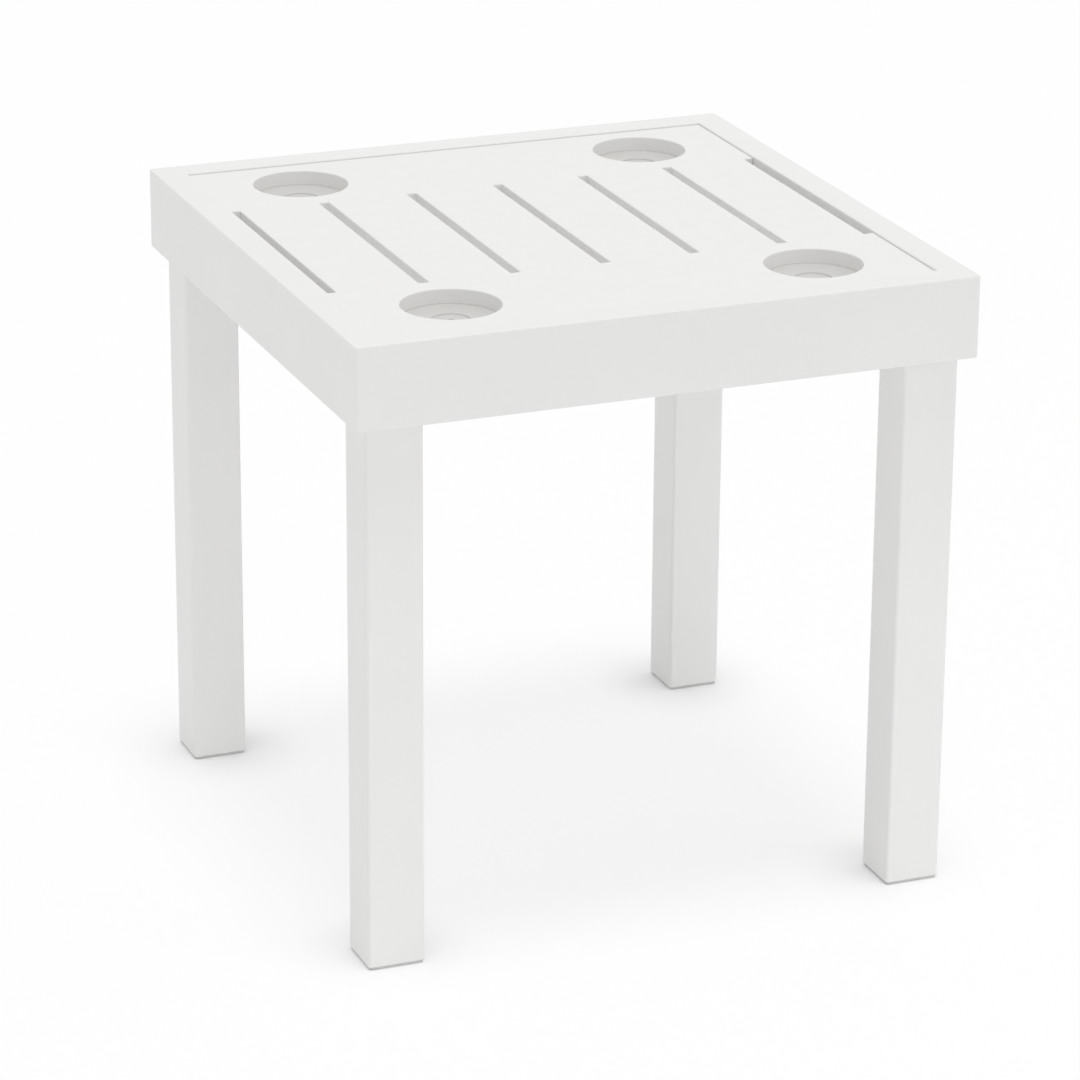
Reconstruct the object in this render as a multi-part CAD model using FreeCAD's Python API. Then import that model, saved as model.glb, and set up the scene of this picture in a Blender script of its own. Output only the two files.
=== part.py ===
import FreeCAD, Part
import math
import os

# A square patio side table in powder-coated aluminium with a board top, in millimetres.
# The origin is on the floor under the middle of the table, +Z is up and -Y is the front.

# Overall size
top_width = 500.0
top_depth = 500.0
table_height = 500.0

# Apron frame: four mitred hollow rails
rail_height = 65.0
rail_thickness = 25.0
rail_wall = 2.0
rail_edge_radius = 1.2
frame_corner_radius = 2.5

# Top panel, a white polymer board dropped into the frame
panel_thickness = 12.0
panel_recess = 1.5
panel_clearance = 0.4

# Drain slots, which run from front to back. The outermost two open towards the side rails.
slot_count = 7
slot_width = 8.0
slot_to_cup_gap = 19.0

# Cup wells: round holes through the panel, each closed from below by a floor plate
cup_bore = 76.0
cup_column_from_end = 1
ledge_to_cup_gap = 4.0
cup_floor_thickness = 2.0
cup_flange_width = 10.0
cup_flange_clearance = 0.5
cup_rim_height = 1.5
cup_rim_thickness = 1.0
cup_rim_clearance = 0.2
cup_dish_diameter = 30.0
cup_dish_depth = 1.2
cup_drain_diameter = 8.0

# Angle ledges under the panel's front and back edges
ledge_width = 12.0
ledge_height = 18.0
ledge_thickness = 3.0

# Square bearers under the panel's middle
bearer_size = 20.0
bearer_wall = 1.5
bearer_pad_width = 16.0

# Legs
leg_size = 45.0
leg_wall = 2.0
leg_corner_radius = 2.5
leg_inset = 11.0
leg_plug_height = 22.0

# Foot caps
foot_pad_thickness = 2.5
foot_pad_inset = 1.0
foot_pad_radius = 3.0
foot_plug_height = 16.0
foot_plug_wall = 3.0
foot_plug_clearance = 0.3

# Corner plates inside the frame
corner_plate_size = 60.0
corner_plate_thickness = 6.0
corner_plate_chamfer = 24.0

# Bolts that hold the legs: two for each corner
leg_bolt_diameter = 6.0
leg_bolt_head_width = 10.0
leg_bolt_head_height = 4.0
leg_bolt_grip = 15.0
leg_bolt_corner_count = 6
leg_bolt_edge_distance = 6.0
washer_diameter = 12.0
washer_thickness = 1.6
washer_gap = 1.0

# Screws that hold the panel and the cups
screw_count_per_ledge = 3
screw_end_distance = 25.0
screw_to_upright_gap = 0.5
screw_diameter = 4.0
screw_head_diameter = 8.0
screw_head_height = 2.6
cup_screw_count = 3
cup_screw_diameter = 3.0
cup_screw_head_diameter = 5.5
cup_screw_head_height = 1.8
screw_bite = 8.0

# Fits shared by every fastener
hole_clearance = 0.25
thread_clearance = 0.05

# Levels and lines worked out from the sizes above
UP = FreeCAD.Vector(0, 0, 1)
full_turn = 360.0
right_angle = 90.0
frame_bottom = table_height - rail_height
panel_top = table_height - panel_recess
panel_bottom = panel_top - panel_thickness
opening_width = top_width - 2 * rail_thickness
opening_depth = top_depth - 2 * rail_thickness
slot_pitch = (opening_width - slot_width) / (slot_count - 1)
cup_x = ((slot_count - 1) / 2 - cup_column_from_end) * slot_pitch
bearer_x = slot_pitch / 2 if slot_count % 2 else slot_pitch
cup_y = opening_depth / 2 - ledge_width - ledge_to_cup_gap - cup_bore / 2
slot_length = 2 * (cup_y - cup_bore / 2 - slot_to_cup_gap)
cup_floor_bottom = panel_bottom - cup_floor_thickness
ledge_bottom = panel_bottom - ledge_thickness
plate_top = frame_bottom + corner_plate_thickness
leg_bore = leg_size - 2 * leg_wall
leg_centre_x = top_width / 2 - leg_inset - leg_size / 2
leg_centre_y = top_depth / 2 - leg_inset - leg_size / 2

# The four corners of the table, by name, with the signs of their X and Y
CORNERS = {
    "front_left": (-1, -1),
    "front_right": (1, -1),
    "back_left": (-1, 1),
    "back_right": (1, 1),
}


def block(size_x, size_y, size_z, x, y, z):
    """A box whose base is centred on x, y at height z."""
    corner = FreeCAD.Vector(x - size_x / 2, y - size_y / 2, z)
    return Part.makeBox(size_x, size_y, size_z, corner)


def rod(diameter, length, x, y, z):
    """An upright cylinder whose base is centred on x, y, z."""
    return Part.makeCylinder(diameter / 2, length, FreeCAD.Vector(x, y, z), UP)


def prism(points, z, height):
    """An upright prism on a closed outline of x, y points."""
    outline = [FreeCAD.Vector(x, y, z) for x, y in points]
    face = Part.Face(Part.makePolygon(outline + outline[:1]))
    return face.extrude(UP * height)


def edges_along(shape, axis):
    """The straight edges of a shape that run along one of the X, Y, Z axes."""
    found = []
    for edge in shape.Edges:
        span = edge.BoundBox
        lengths = [span.XLength, span.YLength, span.ZLength]
        longest = max(lengths)
        if lengths[axis] == longest and sum(lengths) - longest < edge.Tolerance:
            found.append(edge)
    return found


def round_block(size_x, size_y, size_z, x, y, z, radius):
    """A block with rounded upright edges."""
    plain = block(size_x, size_y, size_z, x, y, z)
    return plain.makeFillet(radius, edges_along(plain, 2))


def save(node, shape):
    """Writes one node's solids."""
    shape.exportStep("parts/" + node + ".step")


def rail(along_x, side):
    """One hollow apron rail: along X on the front or back, along Y on the left or right."""
    if along_x:
        across = side * (top_depth - rail_thickness) / 2
        outer = block(top_width, rail_thickness, rail_height, 0, across, frame_bottom)
        outer = outer.makeFillet(rail_edge_radius, edges_along(outer, 0))
        hollow = block(top_width, rail_thickness - 2 * rail_wall, rail_height - 2 * rail_wall,
                       0, across, frame_bottom + rail_wall)
    else:
        across = side * (top_width - rail_thickness) / 2
        outer = block(rail_thickness, top_depth, rail_height, across, 0, frame_bottom)
        outer = outer.makeFillet(rail_edge_radius, edges_along(outer, 1))
        hollow = block(rail_thickness - 2 * rail_wall, top_depth, rail_height - 2 * rail_wall,
                       across, 0, frame_bottom + rail_wall)
    tube = outer.cut(hollow)

    # The mitre wedge runs a rail's thickness past the rail on both sides
    wide, narrow = rail_thickness, -2 * rail_thickness
    near, far = (top_depth / 2, top_width / 2) if along_x else (top_width / 2, top_depth / 2)
    wedge = []
    for grow, end in ((wide, -1), (wide, 1), (narrow, 1), (narrow, -1)):
        length_place = end * (far + grow)
        cross_place = side * (near + grow)
        wedge.append((length_place, cross_place) if along_x else (cross_place, length_place))
    mitred = tube.common(prism(wedge, frame_bottom - rail_wall, rail_height + 2 * rail_wall))
    ground = round_block(top_width, top_depth, rail_height, 0, 0, frame_bottom, frame_corner_radius)
    return mitred.common(ground).removeSplitter()


def panel_screw_places():
    """Where the panel's screws stand: along each ledge's flat leg, with their heads clear of its upright."""
    from_rail = ledge_thickness + screw_to_upright_gap + screw_head_diameter / 2
    span = opening_width - 2 * screw_end_distance
    step = span / (screw_count_per_ledge - 1)
    places = []
    for side in (-1, 1):
        for index in range(screw_count_per_ledge):
            places.append((index * step - span / 2, side * (opening_depth / 2 - from_rail)))
    return places


def cup_screw_places(sign_x, sign_y):
    """Where one cup floor's screws stand: round its flange, the first towards the table's middle."""
    circle = (cup_bore + cup_flange_width) / 2
    places = []
    for index in range(cup_screw_count):
        angle = math.radians(index * full_turn / cup_screw_count - sign_y * right_angle)
        x = sign_x * cup_x + circle * math.cos(angle)
        y = sign_y * cup_y + circle * math.sin(angle)
        places.append((x, y))
    return places


def leg_bolt_places(sign_x, sign_y):
    """Where one leg's two bolts stand: beside the two rails, mirrored about the corner's diagonal."""
    near = rail_thickness + washer_diameter / 2 + washer_gap
    far = leg_inset + leg_size - leg_wall - leg_bolt_edge_distance
    places = []
    for from_side, from_end in ((near, far), (far, near)):
        places.append((sign_x * (top_width / 2 - from_side), sign_y * (top_depth / 2 - from_end)))
    return places


def top_panel():
    """The board, with its drain slots, cup holes and blind holes for the screws under it."""
    board = block(opening_width - 2 * panel_clearance, opening_depth - 2 * panel_clearance,
                  panel_thickness, 0, 0, panel_bottom)
    for index in range(slot_count):
        x = (index - (slot_count - 1) / 2) * slot_pitch
        board = board.cut(block(slot_width, slot_length, panel_thickness, x, 0, panel_bottom))
    drilled_depth = screw_bite + hole_clearance
    for sign_x, sign_y in CORNERS.values():
        board = board.cut(rod(cup_bore, panel_thickness, sign_x * cup_x, sign_y * cup_y, panel_bottom))
        for x, y in cup_screw_places(sign_x, sign_y):
            drilled = cup_screw_diameter + 2 * thread_clearance
            board = board.cut(rod(drilled, drilled_depth, x, y, panel_bottom))
    for x, y in panel_screw_places():
        drilled = screw_diameter + 2 * thread_clearance
        board = board.cut(rod(drilled, drilled_depth, x, y, panel_bottom))
    return board


def cup_floor(sign_x, sign_y):
    """A plate under a cup hole: a flange, a rim that centres it in the hole, a dish and a drain hole."""
    x, y = sign_x * cup_x, sign_y * cup_y
    flange_diameter = cup_bore + 2 * cup_flange_width
    ledge_edge = opening_depth / 2 - ledge_width - cup_flange_clearance
    plate = rod(flange_diameter, cup_floor_thickness, x, y, cup_floor_bottom)
    plate = plate.common(block(flange_diameter, 2 * ledge_edge, cup_floor_thickness, x, 0, cup_floor_bottom))
    rim_diameter = cup_bore - 2 * cup_rim_clearance
    rim = rod(rim_diameter, cup_rim_height, x, y, panel_bottom)
    rim = rim.cut(rod(rim_diameter - 2 * cup_rim_thickness, cup_rim_height, x, y, panel_bottom))
    plate = plate.fuse(rim)
    plate = plate.cut(rod(cup_dish_diameter, cup_dish_depth, x, y, panel_bottom - cup_dish_depth))
    plate = plate.cut(rod(cup_drain_diameter, cup_floor_thickness, x, y, cup_floor_bottom))
    for hole_x, hole_y in cup_screw_places(sign_x, sign_y):
        passing = cup_screw_diameter + 2 * hole_clearance
        plate = plate.cut(rod(passing, cup_floor_thickness, hole_x, hole_y, cup_floor_bottom))
    return plate.removeSplitter()


def ledge(side):
    """An angle on the front or back rail, with holes for the panel's screws."""
    face = side * opening_depth / 2
    flat = block(opening_width, ledge_width, ledge_thickness, 0, face - side * ledge_width / 2, ledge_bottom)
    upright = block(opening_width, ledge_thickness, ledge_height, 0, face - side * ledge_thickness / 2,
                    panel_bottom - ledge_height)
    angle = flat.fuse(upright).removeSplitter()
    for x, y in panel_screw_places():
        if y * side > 0:
            passing = screw_diameter + 2 * hole_clearance
            angle = angle.cut(rod(passing, ledge_thickness, x, y, ledge_bottom))
    return angle


def bearer(side):
    """A square tube under the panel, from ledge to ledge, between two slots."""
    x = side * bearer_x
    length = opening_depth - 2 * ledge_thickness
    base = ledge_bottom - bearer_size
    outer = block(bearer_size, length, bearer_size, x, 0, base)
    bore = bearer_size - 2 * bearer_wall
    return outer.cut(block(bore, length, bore, x, 0, base + bearer_wall))


def bearer_pad(side):
    """A rubber strip on a bearer, as thick as the ledge's flat leg, between the ledges."""
    length = opening_depth - 2 * ledge_width
    return block(bearer_pad_width, length, ledge_thickness, side * bearer_x, 0, ledge_bottom)


def corner_plate(sign_x, sign_y):
    """A plate in a corner of the frame, level with its bottom, with its free corner cut off."""
    inner_x, inner_y = opening_width / 2, opening_depth / 2
    cut = corner_plate_size - corner_plate_chamfer
    offsets = ((0, 0), (corner_plate_size, 0), (corner_plate_size, cut),
               (cut, corner_plate_size), (0, corner_plate_size))
    outline = [(sign_x * (inner_x - dx), sign_y * (inner_y - dy)) for dx, dy in offsets]
    plate = prism(outline, frame_bottom, corner_plate_thickness)
    for x, y in leg_bolt_places(sign_x, sign_y):
        passing = leg_bolt_diameter + 2 * hole_clearance
        plate = plate.cut(rod(passing, corner_plate_thickness, x, y, frame_bottom))
    return plate


def leg(sign_x, sign_y):
    """A square tube from the foot cap's pad up to the frame."""
    x, y = sign_x * leg_centre_x, sign_y * leg_centre_y
    height = frame_bottom - foot_pad_thickness
    tube = round_block(leg_size, leg_size, height, x, y, foot_pad_thickness, leg_corner_radius)
    return tube.cut(block(leg_bore, leg_bore, height, x, y, foot_pad_thickness))


def leg_plug(sign_x, sign_y):
    """A block in the leg's top, tapped for the leg's bolts."""
    base = frame_bottom - leg_plug_height
    plug = block(leg_bore, leg_bore, leg_plug_height, sign_x * leg_centre_x, sign_y * leg_centre_y, base)
    for x, y in leg_bolt_places(sign_x, sign_y):
        plug = plug.cut(rod(leg_bolt_diameter + 2 * thread_clearance, leg_plug_height, x, y, base))
    return plug


def foot_cap(sign_x, sign_y):
    """A pad under the leg with a hollow plug that goes up into it."""
    x, y = sign_x * leg_centre_x, sign_y * leg_centre_y
    pad_size = leg_size - 2 * foot_pad_inset
    pad = round_block(pad_size, pad_size, foot_pad_thickness, x, y, 0, foot_pad_radius)
    plug_size = leg_bore - 2 * foot_plug_clearance
    plug = block(plug_size, plug_size, foot_plug_height, x, y, foot_pad_thickness)
    hollow_size = plug_size - 2 * foot_plug_wall
    hollow = block(hollow_size, hollow_size, foot_plug_height, x, y, foot_pad_thickness)
    return pad.fuse(plug.cut(hollow)).removeSplitter()


def leg_bolt(x, y):
    """A hexagon bolt from above the corner plate down into the leg's plug."""
    seat = plate_top + washer_thickness
    tip = frame_bottom - leg_bolt_grip
    corner_radius = leg_bolt_head_width / 2 / math.cos(math.pi / leg_bolt_corner_count)
    outline = []
    for index in range(leg_bolt_corner_count):
        angle = 2 * math.pi * index / leg_bolt_corner_count
        outline.append((x + corner_radius * math.cos(angle), y + corner_radius * math.sin(angle)))
    head = prism(outline, seat, leg_bolt_head_height)
    return head.fuse(rod(leg_bolt_diameter, seat - tip, x, y, tip)).removeSplitter()


def washer(x, y):
    """A flat washer between a leg bolt's head and the corner plate."""
    ring = rod(washer_diameter, washer_thickness, x, y, plate_top)
    return ring.cut(rod(leg_bolt_diameter + 2 * hole_clearance, washer_thickness, x, y, plate_top))


def screw(x, y, seat, diameter, head_diameter, head_height):
    """A pan-head screw that points up from its seat into the panel."""
    tip = panel_bottom + screw_bite
    head = rod(head_diameter, head_height, x, y, seat - head_height)
    return head.fuse(rod(diameter, tip - seat, x, y, seat)).removeSplitter()


def build():
    """Makes every node and writes it."""
    os.makedirs("parts", exist_ok=True)
    save("rail_front", rail(True, -1))
    save("rail_back", rail(True, 1))
    save("rail_left", rail(False, -1))
    save("rail_right", rail(False, 1))
    save("top_panel", top_panel())
    for name, side in (("front", -1), ("back", 1)):
        save("ledge_" + name, ledge(side))
    for name, side in (("left", -1), ("right", 1)):
        save("bearer_" + name, bearer(side))
        save("bearer_pad_" + name, bearer_pad(side))

    bolts, washers, cup_screws = [], [], []
    for name, signs in CORNERS.items():
        save("cup_floor_" + name, cup_floor(*signs))
        save("corner_plate_" + name, corner_plate(*signs))
        save("leg_" + name, leg(*signs))
        save("leg_plug_" + name, leg_plug(*signs))
        save("foot_cap_" + name, foot_cap(*signs))
        bolts += [leg_bolt(x, y) for x, y in leg_bolt_places(*signs)]
        washers += [washer(x, y) for x, y in leg_bolt_places(*signs)]
        for x, y in cup_screw_places(*signs):
            cup_screws.append(screw(x, y, cup_floor_bottom, cup_screw_diameter,
                                    cup_screw_head_diameter, cup_screw_head_height))
    panel_screws = [screw(x, y, ledge_bottom, screw_diameter, screw_head_diameter, screw_head_height)
                    for x, y in panel_screw_places()]
    save("leg_bolts", Part.makeCompound(bolts))
    save("leg_bolt_washers", Part.makeCompound(washers))
    save("cup_screws", Part.makeCompound(cup_screws))
    save("panel_screws", Part.makeCompound(panel_screws))


build()
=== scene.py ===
# %% [markdown]
# This lesson dresses a square patio side table: a white coated frame on four legs, and a slotted top
# with four cup wells.
# The table already exists as solids at its real size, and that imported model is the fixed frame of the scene.
# Every piece made below reads its place from the frame, in metres, so nothing has to be fitted by eye.

# %% Load the frame
import math

import bmesh
import bpy
from mathutils import Matrix, Vector


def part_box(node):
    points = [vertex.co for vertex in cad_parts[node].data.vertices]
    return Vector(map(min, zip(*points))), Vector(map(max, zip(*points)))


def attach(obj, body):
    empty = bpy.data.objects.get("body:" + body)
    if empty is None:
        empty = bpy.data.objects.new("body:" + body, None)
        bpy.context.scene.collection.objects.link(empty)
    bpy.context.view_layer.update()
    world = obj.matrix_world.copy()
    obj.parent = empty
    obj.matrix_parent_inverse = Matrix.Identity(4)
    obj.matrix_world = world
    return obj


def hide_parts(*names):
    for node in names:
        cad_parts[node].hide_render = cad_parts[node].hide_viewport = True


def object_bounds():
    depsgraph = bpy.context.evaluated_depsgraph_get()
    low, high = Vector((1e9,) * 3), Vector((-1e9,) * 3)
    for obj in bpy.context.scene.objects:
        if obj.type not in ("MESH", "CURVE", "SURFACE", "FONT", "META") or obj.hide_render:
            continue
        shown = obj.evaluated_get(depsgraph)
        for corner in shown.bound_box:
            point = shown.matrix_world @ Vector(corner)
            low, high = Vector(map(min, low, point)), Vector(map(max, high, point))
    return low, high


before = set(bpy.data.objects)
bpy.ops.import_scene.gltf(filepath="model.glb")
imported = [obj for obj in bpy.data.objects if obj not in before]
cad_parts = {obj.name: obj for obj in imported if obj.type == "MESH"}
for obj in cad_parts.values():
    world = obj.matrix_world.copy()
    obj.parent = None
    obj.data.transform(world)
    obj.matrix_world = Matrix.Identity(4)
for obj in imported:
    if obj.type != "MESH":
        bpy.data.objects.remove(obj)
cad_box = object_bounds()
mm = 0.001
corners = ("front_left", "front_right", "back_left", "back_right")
cad_size = cad_box[1] - cad_box[0]
print("frame loaded:", len(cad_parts), "solids, box", [round(size, 3) for size in cad_size])

# %% [markdown]
# A node tree is a list of nodes and the wires between them, and writing it in full takes many lines.
# These helpers add one node and feed its sockets: a value is typed in, and another node's socket is wired in.
# A space in a socket's name is written as an underscore, so that the sockets can be keyword arguments.
# The sockets of a Math node all have one name, so it gets a helper of its own.

# %% Helpers for node trees
def feed(tree, socket, value):
    """Types a value into a socket, or wires another node's socket to it."""
    if isinstance(value, bpy.types.NodeSocket):
        tree.links.new(value, socket)
    else:
        socket.default_value = value


def add_node(tree, kind, **sockets):
    """Adds a node and feeds its input sockets."""
    made = tree.nodes.new(kind)
    for label, value in sockets.items():
        feed(tree, made.inputs[label.replace("_", " ")], value)
    return made


def maths(tree, operation, first, second):
    """The result of a Math node on two values."""
    made = tree.nodes.new("ShaderNodeMath")
    made.operation = operation
    for socket, value in zip(made.inputs, (first, second)):
        feed(tree, socket, value)
    return made.outputs["Value"]


print("node helpers:", [helper.__name__ for helper in (feed, add_node, maths)])

# %% [markdown]
# Every finish below starts alike: one Principled shader, and patterns on Object coordinates.
# Those stick to the piece and keep their real size on it, where Generated coordinates would stretch with it.
# A noise seldom leaves the middle of its range, so that part alone is spread over a roughness or two tones.

# %% What every finish starts with
noise_low, noise_high = 0.3, 0.7


def blank_material(name):
    """A new material, its node tree, its main shader and the coordinates that its patterns use."""
    material = bpy.data.materials.new(name)
    material.use_nodes = True
    tree = material.node_tree
    place = add_node(tree, "ShaderNodeTexCoord").outputs["Object"]
    return material, tree, tree.nodes["Principled BSDF"], place


def spread(tree, value, low, high):
    """Maps the middle of a noise value's range onto low to high."""
    mapped = add_node(tree, "ShaderNodeMapRange", Value=value, From_Min=noise_low, From_Max=noise_high,
                      To_Min=low, To_Max=high)
    return mapped.outputs["Result"]


def two_tones(tree, value, dark, light):
    """Turns a noise value into a colour between two tones."""
    ramp = add_node(tree, "ShaderNodeValToRGB", Fac=value)
    ends = ramp.color_ramp.elements
    ends[0].position, ends[1].position = noise_low, noise_high
    ends[0].color, ends[1].color = (*dark, 1.0), (*light, 1.0)
    return ramp.outputs["Color"]


print("patterns use the noise from", noise_low, "to", noise_high)

# %% [markdown]
# The finish on the frame and the legs is white powder coat on aluminium. The cup floors have it in grey, and
# that grey is painted shade that darkens the wells beyond what the light does.
# Powder melts into a satin skin that is not quite flat: it has fine ripples, known as orange peel,
# and a grain. A plain colour would look like paper, and a photographed texture would repeat,
# so three noises make the skin: a broad one drifts the tone, a middle one ripples, and a small one grains.
# The drift is only about one percent, because the real coat is even, and more would read as dirt.

# %% White powder coat
def powder_coat(name, dark, light, rough, peel_height):
    """A satin white coat with drift, orange peel and grain."""
    drift_scale, peel_scale, grain_scale = 11.0, 420.0, 2300.0
    drift_detail, peel_detail, grain_detail = 3.0, 2.0, 1.0
    grain_share = 0.25
    material, tree, shader, place = blank_material(name)
    drift = add_node(tree, "ShaderNodeTexNoise", Vector=place, Scale=drift_scale, Detail=drift_detail)
    peel = add_node(tree, "ShaderNodeTexNoise", Vector=place, Scale=peel_scale, Detail=peel_detail)
    grain = add_node(tree, "ShaderNodeTexNoise", Vector=place, Scale=grain_scale, Detail=grain_detail)
    ripple = add_node(tree, "ShaderNodeBump", Strength=1.0, Distance=peel_height, Height=peel.outputs["Fac"])
    skin = add_node(tree, "ShaderNodeBump", Strength=1.0, Distance=peel_height * grain_share,
                    Height=grain.outputs["Fac"], Normal=ripple.outputs["Normal"])
    tree.links.new(two_tones(tree, drift.outputs["Fac"], dark, light), shader.inputs["Base Color"])
    tree.links.new(spread(tree, peel.outputs["Fac"], *rough), shader.inputs["Roughness"])
    tree.links.new(skin.outputs["Normal"], shader.inputs["Normal"])
    return material


coat_dark, coat_light = (0.840, 0.837, 0.830), (0.857, 0.854, 0.847)
# Painted shade: the cup floors' coat is grey, darker than the table's white, so that the wells read as shaded.
cup_shade_dark, cup_shade_light = (0.630, 0.622, 0.606), (0.652, 0.644, 0.628)
inner_dark, inner_light = (0.800, 0.796, 0.788), (0.845, 0.841, 0.834)
frame_coat = powder_coat("frame_coat", coat_dark, coat_light, rough=(0.42, 0.50), peel_height=0.012 * mm)
cup_coat = powder_coat("cup_coat", cup_shade_dark, cup_shade_light, rough=(0.40, 0.48), peel_height=0.008 * mm)
leg_coat = powder_coat("leg_coat", coat_dark, coat_light, rough=(0.42, 0.50), peel_height=0.012 * mm)
inner_coat = powder_coat("inner_coat", inner_dark, inner_light, rough=(0.50, 0.62), peel_height=0.020 * mm)
print("coats:", [coat.name for coat in (frame_coat, cup_coat, leg_coat, inner_coat)])

# %% [markdown]
# The top is a white polymer board, a shade lighter than the coat, with the fine pebble of its rollers.
# Foot caps are moulded plastic with a faint spark-eroded grain, and the strips on the bearers are rubber.
# All three took their skin from a tool. Real bumps would need millions of faces, so a bump shader makes them,
# and one function with a grain size and a grain height serves all three.

# %% Board, plastic and rubber
def moulded(name, dark, light, rough, grain_scale, grain_height):
    """Plastic or rubber out of a textured tool."""
    drift_scale, drift_detail, grain_detail = 60.0, 3.0, 2.0
    material, tree, shader, place = blank_material(name)
    drift = add_node(tree, "ShaderNodeTexNoise", Vector=place, Scale=drift_scale, Detail=drift_detail)
    grain = add_node(tree, "ShaderNodeTexNoise", Vector=place, Scale=grain_scale, Detail=grain_detail)
    bump = add_node(tree, "ShaderNodeBump", Strength=1.0, Distance=grain_height, Height=grain.outputs["Fac"])
    tree.links.new(two_tones(tree, drift.outputs["Fac"], dark, light), shader.inputs["Base Color"])
    tree.links.new(spread(tree, grain.outputs["Fac"], *rough), shader.inputs["Roughness"])
    tree.links.new(bump.outputs["Normal"], shader.inputs["Normal"])
    return material


panel_board = moulded("panel_board", dark=(0.850, 0.846, 0.839), light=(0.862, 0.858, 0.851),
                      rough=(0.44, 0.54), grain_scale=700.0, grain_height=0.010 * mm)
foot_plastic = moulded("foot_plastic", dark=(0.60, 0.60, 0.59), light=(0.65, 0.65, 0.64),
                       rough=(0.55, 0.70), grain_scale=1800.0, grain_height=0.02 * mm)
pad_rubber = moulded("pad_rubber", dark=(0.030, 0.030, 0.031), light=(0.048, 0.048, 0.049),
                     rough=(0.70, 0.90), grain_scale=1200.0, grain_height=0.04 * mm)
print("moulded finishes:", [finish.name for finish in (panel_board, foot_plastic, pad_rubber)])

# %% [markdown]
# Bolts, washers and screws are zinc-plated steel, and the blocks in the leg tops are bare sawn aluminium.
# A plated or sawn metal is one shader with full metallic, whose roughness carries the marks of its making.
# Saw marks could be modelled, but they are far too fine, and a noise drawn out along one axis gives
# the same streaks.

# %% Bare metal
def bare_metal(name, dark, light, rough, stretch):
    """Metal with streaks: a stretch below 1 draws the noise out along that axis."""
    streak_scale, streak_detail, streak_height = 900.0, 3.0, 0.006 * mm
    material, tree, shader, place = blank_material(name)
    stretched = add_node(tree, "ShaderNodeMapping", Vector=place, Scale=stretch)
    streak = add_node(tree, "ShaderNodeTexNoise", Vector=stretched.outputs["Vector"], Scale=streak_scale,
                      Detail=streak_detail)
    bump = add_node(tree, "ShaderNodeBump", Strength=1.0, Distance=streak_height,
                    Height=streak.outputs["Fac"])
    shader.inputs["Metallic"].default_value = 1.0
    tree.links.new(two_tones(tree, streak.outputs["Fac"], dark, light), shader.inputs["Base Color"])
    tree.links.new(spread(tree, streak.outputs["Fac"], *rough), shader.inputs["Roughness"])
    tree.links.new(bump.outputs["Normal"], shader.inputs["Normal"])
    return material


zinc_steel = bare_metal("zinc_steel", dark=(0.58, 0.59, 0.61), light=(0.72, 0.73, 0.74),
                        rough=(0.26, 0.42), stretch=(1.0, 1.0, 1.0))
sawn_aluminium = bare_metal("sawn_aluminium", dark=(0.70, 0.70, 0.71), light=(0.82, 0.82, 0.83),
                            rough=(0.32, 0.52), stretch=(1.0, 0.08, 1.0))
print("metals:", zinc_steel.name, "and", sawn_aluminium.name)

# %% [markdown]
# Tubes, caps and cups are all skins stretched over a row of loops, so one loft function makes them all.
# A loft with closed ends is a solid block. One whose last loop joins its first is a hollow tube or a ring.
# Rounded corners are arcs with a few steps each, because a corner with no radius never catches the light.
# Angles are counted in quarter turns, which are all that these sections need.

# %% Loops and lofts
corner_steps = 6


def arc(centre, radius, start, end):
    """Points on an arc between two angles in quarter turns, ends included."""
    points = []
    for step in range(corner_steps + 1):
        angle = (start + (end - start) * step / corner_steps) * math.pi / 2
        points.append((centre[0] + radius * math.cos(angle), centre[1] + radius * math.sin(angle)))
    return points


def rounded_rectangle(low, high, radius):
    """Points round a rectangle between two corners, with an arc at each corner."""
    near, far = (low[0] + radius, low[1] + radius), (high[0] - radius, high[1] - radius)
    middles = (far, (near[0], far[1]), near, (far[0], near[1]))
    points = []
    for turn, middle in enumerate(middles):
        points += arc(middle, radius, turn, turn + 1)
    return points


def loft(loops, ring):
    """Points and faces of a skin over loops of equal length, closed to a ring or capped at both ends."""
    count = len(loops[0])
    points = [point for loop in loops for point in loop]
    faces = []
    for row in range(len(loops) if ring else len(loops) - 1):
        here, there = row * count, (row + 1) % len(loops) * count
        for index in range(count):
            following = (index + 1) % count
            faces.append((here + index, here + following, there + following, there + index))
    if not ring:
        faces.append(tuple(range(count)))
        faces.append(tuple(range(len(points) - count, len(points))))
    return points, faces


print("a quarter arc has", len(arc((0, 0), mm, 0, 1)), "points")

# %% [markdown]
# Loft points that fall on one another are merged, and then the faces are turned outwards.
# Baking copies the evaluated mesh back into the object, so that no modifier stays on a finished piece.
# Applying each modifier with an operator would also do, but that needs the right object to be active.

# %% Merging and baking
merge_distance = 0.001 * mm


def merged_shape(points, faces):
    """A bmesh of points and faces, with doubles merged and faces turned outwards."""
    shape = bmesh.new()
    verts = [shape.verts.new(point) for point in points]
    for face in faces:
        shape.faces.new([verts[index] for index in face])
    bmesh.ops.remove_doubles(shape, verts=shape.verts, dist=merge_distance)
    bmesh.ops.recalc_face_normals(shape, faces=shape.faces)
    return shape


def bake(item):
    """Gives an object its evaluated mesh and takes its modifiers off."""
    graph = bpy.context.evaluated_depsgraph_get()
    evaluated = item.evaluated_get(graph)
    baked = bpy.data.meshes.new_from_object(evaluated, preserve_all_data_layers=True, depsgraph=graph)
    item.modifiers.clear()
    item.data = baked


print("points closer than", merge_distance, "m are merged")

# %% [markdown]
# A sawn or routed edge is never quite sharp. A Bevel modifier eases it, and edge weights tell it where:
# the creased edges above a height get weight, and those on the piece's outline may get a smaller share of it.
# Beside a small radius, flat faces shade badly when all normals are averaged, so a Weighted Normal modifier
# lets the large faces rule. Each piece then rides on a body, and the solid that it stands for is hidden.

# %% From a mesh to a finished piece
crease_angle = math.radians(40)
open_edge_angle = 0.0
below_everything = -1.0
edge_steps = 3


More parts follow.
